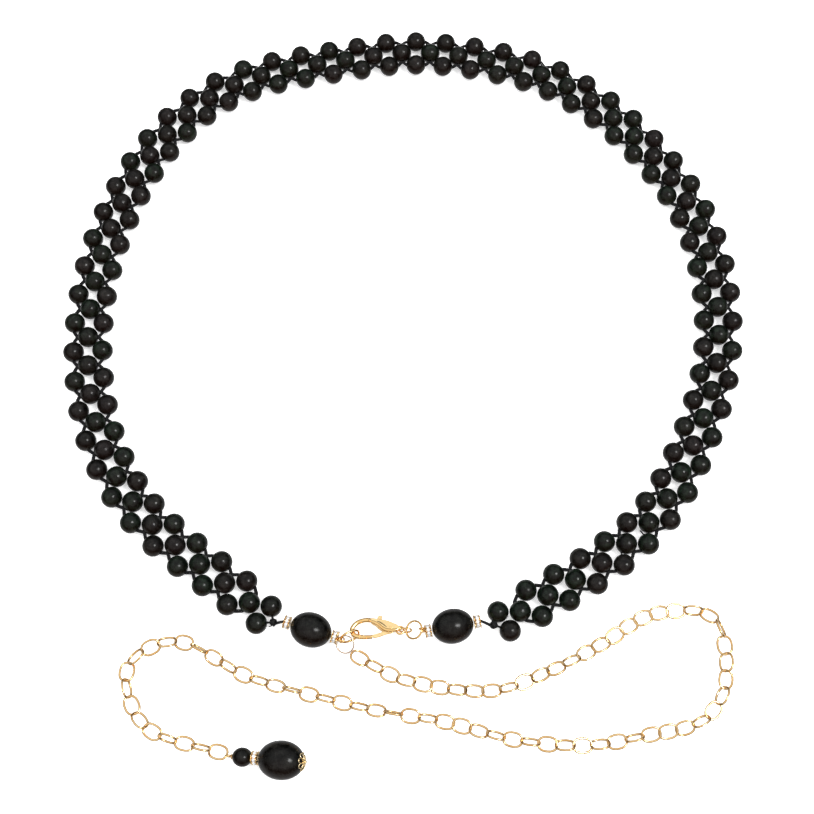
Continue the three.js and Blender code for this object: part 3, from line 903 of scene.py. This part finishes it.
def make_eye(node, centre, normal, face, way, coils, material, reach=1.1):
    """A wire loop whose end wraps round its own neck, from the bead's hole to the ring."""
    shape = Shape()
    place = facing(centre, normal)
    local = place[:3, :3].T @ (np.array(face) - centre)
    start = math.atan2(local[1], local[0])
    a = np.linspace(start + 0.25, start + 2 * math.pi - 0.1, 40)
    loop = np.stack([reach * np.cos(a), reach * np.sin(a), np.linspace(-0.16, 0.16, 40)], 1)
    loop = moved(loop, place)
    root = np.array(face) - np.array(way) * 0.1
    neck = np.array(face) + np.array(way) * 0.9
    shape.add(*swept(smooth_line([root, neck, loop[0], *loop[3::4]], 8), EYE_WIRE / 2, 10))
    axis = unit(loop[0] - root)
    t = np.linspace(0, 1, 40 * coils)
    turn = 2 * math.pi * coils * t
    rise = t * coils * EYE_WIRE * 1.02
    spiral = np.stack([EYE_WIRE * np.cos(turn), EYE_WIRE * np.sin(turn), rise], 1)
    wrap = facing(root + axis * 0.35, axis)
    shape.add(*swept(moved(spiral, wrap), EYE_WIRE / 2 * 0.96, 8))
    made = shape.object(node + "_wire", [material])
    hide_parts(node)


def link_roll(i, way, chance):
    """How far a link is rolled: near flat and steep by turns, most leaning away from the clasp."""
    if i % 2 == 0:
        return chance.normal(-6, 18)
    steep = min(88.0, abs(chance.normal(50, 21)))
    away = -math.copysign(1.0, way[0])
    return steep * (away if chance.random() < 0.8 else -away)


def make_chain():
    """Cable chain of oval wire links, each turned from its neighbours and lying on the table."""
    line = route_line(CHAIN_ROUTE, 40, 0.0)
    length = arc_lengths(line)[-1]
    count = 2 * round((length / LINK_PITCH - 1) / 2) + 1
    pitch = length / count
    chance = np.random.default_rng(5)
    shape = Shape()
    for i in range(count):
        add_link(shape, line, length, (i + 0.5) * pitch, i, chance)
    made = shape.object("chain_links", [CHAIN])
    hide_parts("chain")


def add_link(shape, line, length, s, i, chance):
    """The link at a distance along the chain, as high as its roll needs."""
    _, width, wire = LINK
    ends = at_lengths(line, np.array([max(0.0, s - LINK_STRETCH), min(length, s + LINK_STRETCH)]))
    middle = at_lengths(line, np.array([s]))[0]
    roll = link_roll(i, ends[1] - ends[0], chance)
    rise = (width - wire) / 2 * abs(math.sin(math.radians(roll))) + wire / 2 + LINK_LIFT
    way = ends[1] - ends[0] + np.array([0, 0, chance.normal(0, 0.35)])
    place = laid(np.array([middle[0], middle[1], max(rise, LINK_LOWEST)]), way, roll)
    shape.add(*closed_wire(moved(oval_link_points(*LINK), place), wire / 2, 10))


# Clasp

def clasp_spot(share):
    return np.array([
        CLASP_CORNER[0] + share[0] * CLASP_LENGTH, CLASP_CORNER[1] + share[1] * CLASP_HEIGHT, 0.0,
    ]) + SHIFT


def inset(outline, distance):
    """A counter-clockwise outline moved inward."""
    way = np.roll(outline, -1, axis=0) - np.roll(outline, 1, axis=0)
    way /= np.maximum(np.linalg.norm(way, axis=1)[:, None], TINY)
    return outline + np.stack([-way[:, 1], way[:, 0]], 1) * distance


def slab(outline, low, high, round_off):
    """A plate of the outline with rounded edges: its points, its wall, and its top and bottom."""
    p = np.asarray(outline)[:, :2]
    area = np.sum(p[:, 0] * np.roll(p[:, 1], -1) - np.roll(p[:, 0], -1) * p[:, 1])
    if area < 0:
        p = p[::-1]
    rings = []
    for i in range(EDGE_ROWS + 1):
        a = (math.pi / 2) * i / EDGE_ROWS
        rings.append((round_off * (1 - math.sin(a)), low + round_off * (1 - math.cos(a))))
    rings += [(d, low + high - z) for d, z in rings[::-1]]
    verts = []
    for distance, z in rings:
        verts.extend((x, y, z) for x, y in inset(p, distance))
    return verts, grid_faces(len(rings), len(p)), end_faces(len(rings), len(p))[::-1]


def add_slab(shape, outline, span, round_off, face_slot=0):
    """A plate between two heights, its flat faces in their own slot."""
    verts, wall, ends = slab(outline, *span, round_off)
    start = shape.count
    shape.add(verts, wall)
    shape.add_faces(start, ends, face_slot, True)


def circle(centre, radius, count):
    a = np.linspace(0, 2 * np.pi, count, endpoint=False)
    return np.stack([centre[0] + radius * np.cos(a), centre[1] + radius * np.sin(a)], 1)


def clasp_line(shares, height, steps):
    """A smooth line through points of the clasp, at a height."""
    return smooth_line([clasp_spot(s) + np.array([0, 0, height]) for s in shares], steps)


def clasp_outline(shares, steps):
    return smooth_line([clasp_spot(s)[:2] for s in shares], steps, closed=True)


def add_hook(shape):
    """The hook's round wire, a little thinner at its root and toward its tip."""
    line = clasp_line(HOOK_LINE, CLASP_MIDDLE, 12)
    t = np.linspace(0, 1, len(line))
    tip = np.clip((t - 0.75) / 0.25, 0, 1)
    root = np.clip(0.15 - t, 0, 1) / 0.15
    half = HOOK_RADIUS - HOOK_TIP_THINNING * tip - HOOK_ROOT_THINNING * root
    shape.add(*swept(line, half, 18, 0.9, up=(0, 0, 1)))


def add_tail_eye(shape):
    flat = circle(clasp_spot(TAIL_EYE), TAIL_EYE_RADIUS, 40)
    ring = np.column_stack([flat, np.full(len(flat), CLASP_MIDDLE)])
    shape.add(*closed_wire(ring, TAIL_EYE_WIRE_RADIUS, 12))


def add_rivet(shape):
    """The pin between the cheeks and its head on each of them."""
    pivot = clasp_spot(PIVOT)
    add_slab(shape, circle(pivot, RIVET_RADIUS, 20), PIN_SPAN, 0.05)
    for span in RIVET_HEADS:
        add_slab(shape, circle(pivot, RIVET_RADIUS, 28), span, 0.08, 1)


def add_rail(shape):
    """The raised rib on the upper cheek, thinner toward both ends."""
    rail = clasp_line(RAIL_LINE, RAIL_HEIGHT, 10)
    t = np.clip(np.linspace(0, 1, len(rail)), 0.02, 0.98)
    radii = RAIL_RADIUS * (0.45 + 0.55 * np.sin(np.pi * t) ** 0.5)
    shape.add(*swept(rail, radii, 14, 1.25, up=(0, 0, 1)))


def add_groove(shape):
    """The upper cheek's groove, shown as a thin dark strip laid on it: painted shade in place of a
    cut.
    """
    seam = clasp_line(GROOVE_LINE, GROOVE_HEIGHT, 8)
    t = np.clip(np.linspace(0, 1, len(seam)), 0.06, 0.94)
    radii = GROOVE_RADIUS * np.sin(np.pi * t) ** 0.6
    shape.add(*swept(seam, radii, 8, 1.3, up=(0, 0, 1)), 2)


def make_clasp_body():
    shape = Shape()
    outline = clasp_outline(CHEEK_OUTLINE, 8)
    add_slab(shape, outline, LOWER_CHEEK, 0.2, 1)
    add_slab(shape, outline, UPPER_CHEEK, 0.22, 1)
    add_hook(shape)
    add_tail_eye(shape)
    add_rivet(shape)
    add_rail(shape)
    add_groove(shape)
    add_slab(shape, [clasp_spot(s)[:2] for s in TAIL_PLUG], PLUG_SPAN, 0.03)
    made = shape.object("clasp_body_metal", [POLISHED, SATIN, SEAM_PAINTED_SHADE])
    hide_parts("clasp_body")


def make_clasp_lever():
    shape = Shape()
    add_slab(shape, clasp_outline(LEVER_OUTLINE, 6), LEVER_SPAN, 0.14, 1)
    made = shape.object("clasp_lever_metal", [POLISHED, SATIN], body="lever")
    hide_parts("clasp_lever")


# Thread ends

def make_knot(node, u, face, way, seed):
    """A black thread knot with its strands to the spacer and to the last pair of beads."""
    chance = np.random.default_rng(seed)
    out = u["out"]
    centre = u["middle"] + out * KNOT_REACH + np.array([0, KNOT_RISE.get(node, 0.0), 0.3])
    shape = Shape()
    add_knot_ball(shape, facing(centre, unit(out + np.array([0.2, 0.1, 0.5]))))
    side = across(unit(out * np.array([1, 1, 0])))
    for sign in (1, -1):
        inner = centre + out * 0.8 + side * sign * 0.3
        outer = np.array(face) + np.array(way) * 0.1 + side * sign * 0.15
        add_strand(shape, inner, outer, 0.3)
        mate = pair_bead(u, sign)
        add_strand(shape, centre, mate + unit(centre - mate) * 3.4, 0.2)
    bit = centre + chance.normal(0, 0.2, 3)
    tail = [bit, bit - side * 1.2 - out * 0.2, bit - side * 2.0 - out * 0.9 - np.array([0, 0, 0.6])]
    shape.add(*swept(smooth_line(tail, 8), 0.2, 7))
    made = shape.object(node + "_thread", [THREAD])
    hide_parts(node)


def add_knot_ball(shape, place):
    """Four uneven turns of thread round a core."""
    a = np.linspace(0, 2 * np.pi * 4, 140)
    x = 1.05 * np.cos(a) * (1 + 0.12 * np.sin(3.1 * a))
    y = 1.05 * np.sin(a) * (1 + 0.1 * np.cos(2.3 * a))
    turns = np.stack([x, y, 0.75 * np.sin(a * 0.62 + 0.4)], 1)
    shape.add(*swept(moved(turns, place), 0.34, 8))
    shape.add(*revolved(KNOT_CORE_PROFILE, 14), 0, False, place)


def add_strand(shape, start, end, rise):
    """A short strand of the knot's thread that bows upward between two points."""
    middle = (start + end) / 2 + np.array([0, 0, rise])
    shape.add(*swept(smooth_line([start, middle, end], 8), KNOT_STRAND_RADIUS, 8))


# Drop

def cap_height(radius):
    """Where the oval bead's surface stands at a distance from its axis, from its middle."""
    return DROP_HALF * math.sqrt(1 - (radius / DROP_RADIUS) ** 2)


def cap_wire(points, radius, place):
    """Filigree wire laid on the oval bead's end, through points given by distance and angle."""
    line = []
    for r, a in points:
        line.append((r * math.cos(a), r * math.sin(a), cap_height(r) + radius + PETAL_LIFT))
    return swept(moved(smooth_line(line, 6), place), radius, 8)


def make_flower_cap(middle, axis):
    """A filigree cap of open petals on the oval bead's end, round the pin's head."""
    place = facing(middle, axis)
    half = math.pi / PETALS
    shape = Shape()
    for i in range(PETALS):
        a = 2 * math.pi * i / PETALS
        petal = [(distance, a + half * share) for distance, share in PETAL_LINE]
        shape.add(*cap_wire(petal, PETAL_WIRE_RADIUS, place))
    top = cap_height(0.0)
    collar = [(r, top + z) for r, z in COLLAR_PROFILE]
    shape.add(*revolved(collar, 24, close=True), 0, False, place)
    head = [(r, top + z) for r, z in PIN_HEAD_PROFILE]
    shape.add(*revolved(head, 20), 0, False, place)
    made = shape.object("drop_cap_petals", [CAP_GOLD])
    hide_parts("drop_cap")


# Stage

def area_light(name, place, size, power):
    """A white rectangular light, aimed at the belt's middle."""
    data = bpy.data.lights.new(name, "AREA")
    data.shape = "RECTANGLE"
    data.size, data.size_y = size
    data.energy = power
    lamp = bpy.data.objects.new(name, data)
    lamp.location = place
    lamp.rotation_euler = (-Vector(place)).to_track_quat("-Z", "Y").to_euler()
    bpy.context.scene.collection.objects.link(lamp)
    return lamp


def studio_world():
    """A white tent: bright overhead and from the table, with a dark band round the horizon."""
    world = bpy.data.worlds.new("studio")
    world.use_nodes = True
    tree = world.node_tree
    place = tree.nodes.new("ShaderNodeTexCoord")
    split = tree.nodes.new("ShaderNodeSeparateXYZ")
    tree.links.new(place.outputs["Generated"], split.inputs["Vector"])
    height = tree.nodes.new("ShaderNodeMapRange")
    height.inputs["From Min"].default_value = -1.0
    height.inputs["From Max"].default_value = 1.0
    tree.links.new(split.outputs["Z"], height.inputs["Value"])
    ramp = tree.nodes.new("ShaderNodeValToRGB")
    elements = ramp.color_ramp.elements
    elements[0].position, elements[1].position = TENT_STOPS[0][0], TENT_STOPS[-1][0]
    elements[0].color = (TENT_STOPS[0][1],) * 3 + (1,)
    elements[1].color = (TENT_STOPS[-1][1],) * 3 + (1,)
    for position, value in TENT_STOPS[1:-1]:
        elements.new(position).color = (value, value, value, 1)
    tree.links.new(height.outputs["Result"], ramp.inputs["Fac"])
    tree.links.new(ramp.outputs["Color"], tree.nodes["Background"].inputs["Color"])
    return world


def make_stage():
    bpy.ops.mesh.primitive_plane_add(size=FLOOR_SIZE, location=(0, 0, 0))
    floor = bpy.context.object
    floor.name = "floor"
    floor.data.materials.append(floor_paper())
    floor.visible_glossy = False
    bpy.context.scene.world = studio_world()
    area_light("key", KEY_PLACE, KEY_SIZE, KEY_POWER)
    fill = area_light("fill", FILL_PLACE, FILL_SIZE, FILL_POWER)
    fill.visible_glossy = False
    bpy.context.scene.view_settings.view_transform = "Standard"


# The whole belt

LEFT_WAY = heading(LEFT_AZIMUTH, 0)
RIGHT_WAY = heading(RIGHT_AZIMUTH, 0)


def make_clasp_beads():
    """The oval bead at each side of the clasp, between its two rondelles."""
    make_oval("oval_left", LEFT_WAY, OVAL_HALF, OVAL_RADIUS)
    make_oval("oval_right", RIGHT_WAY, OVAL_HALF, OVAL_RADIUS)
    make_rondelle("rondelle_left_outer", LEFT_WAY, 0.1)
    make_rondelle("rondelle_left_inner", LEFT_WAY, 0.3)
    make_rondelle("rondelle_right_inner", RIGHT_WAY, 0.2)
    make_rondelle("rondelle_right_outer", RIGHT_WAY, 0.45)


def make_eyes():
    """The wire eye of each oval: the left in the hooked link, the right in the round ring."""
    left_face = seen_middle("rondelle_left_inner") + LEFT_WAY * SPACER_HALF
    right_face = seen_middle("rondelle_right_inner") - RIGHT_WAY * SPACER_HALF
    left = node_middle("hook_link") - heading(*HOOK_LINK_HEADING) * LEFT_EYE_OFFSET
    right = node_middle("round_ring") + heading(0, ROUND_RING_TILT) * ROUND_RING[0]
    make_eye("eye_left", left, LEFT_EYE_NORMAL, left_face, LEFT_WAY, 1, WIRE)
    make_eye("eye_right", right, (0, 1, 0), right_face, -RIGHT_WAY, 2, WIRE, reach=0.85)


def make_rings():
    round_place = laid(node_middle("round_ring"), heading(0, ROUND_RING_TILT), 0)
    make_ring("round_ring", round_ring_points(ROUND_RING[0]), ROUND_RING[1], round_place, WIRE)
    thin_place = facing(node_middle("chain_ring"), CHAIN_RING_NORMAL)
    make_ring("chain_ring", round_ring_points(CHAIN_RING[0]), CHAIN_RING[1], thin_place, PALE)
    tail_place = laid(node_middle("clasp_ring"), (1, 0, 0), CLASP_RING_ROLL)
    make_ring("clasp_ring", oval_link_points(*CLASP_RING), CLASP_RING[2], tail_place, WIRE)
    hook_place = laid(node_middle("hook_link"), heading(*HOOK_LINK_HEADING), HOOK_LINK_ROLL)
    make_ring("hook_link", oval_link_points(*HOOK_LINK), HOOK_LINK[2], hook_place, CHAIN)


def make_knots(units):
    left_face = seen_middle("rondelle_left_outer") - LEFT_WAY * SPACER_HALF
    right_face = seen_middle("rondelle_right_outer") + RIGHT_WAY * SPACER_HALF
    make_knot("knot_left", units[0], left_face, -LEFT_WAY, 3)
    make_knot("knot_right", units[-1], right_face, RIGHT_WAY, 4)


def make_drop():
    """The drop: a small bead, a rondelle, and an oval bead that climbs to its flower cap."""
    way = unit(node_middle("drop_oval") - node_middle("drop_bead"))
    oval_way = heading(math.degrees(math.atan2(way[1], way[0])), DROP_OVAL_CLIMB)
    oval_middle = node_middle("drop_oval") + np.array(DROP_OVAL_MOVE)
    make_oval("drop_oval", oval_way, DROP_HALF, DROP_RADIUS, oval_middle)
    make_oval("drop_bead", way, DROP_BEAD_HALF, DROP_BEAD_RADIUS)
    make_rondelle("drop_rondelle", way, 0.0)
    face = node_middle("drop_bead") - way * DROP_BEAD_RADIUS
    eye = face - way * DROP_EYE_OFFSET
    make_eye("drop_eye", eye, np.cross((0, 0, 1), way), face, -way, 1, CHAIN)
    make_flower_cap(oval_middle, oval_way)


def main():
    place_camera()
    make_stage()
    layout = net_layout()
    make_band(layout)
    make_net_threads(layout)
    make_clasp_beads()
    make_eyes()
    make_rings()
    make_clasp_body()
    make_clasp_lever()
    make_chain()
    make_knots(layout[2])
    make_drop()


main()
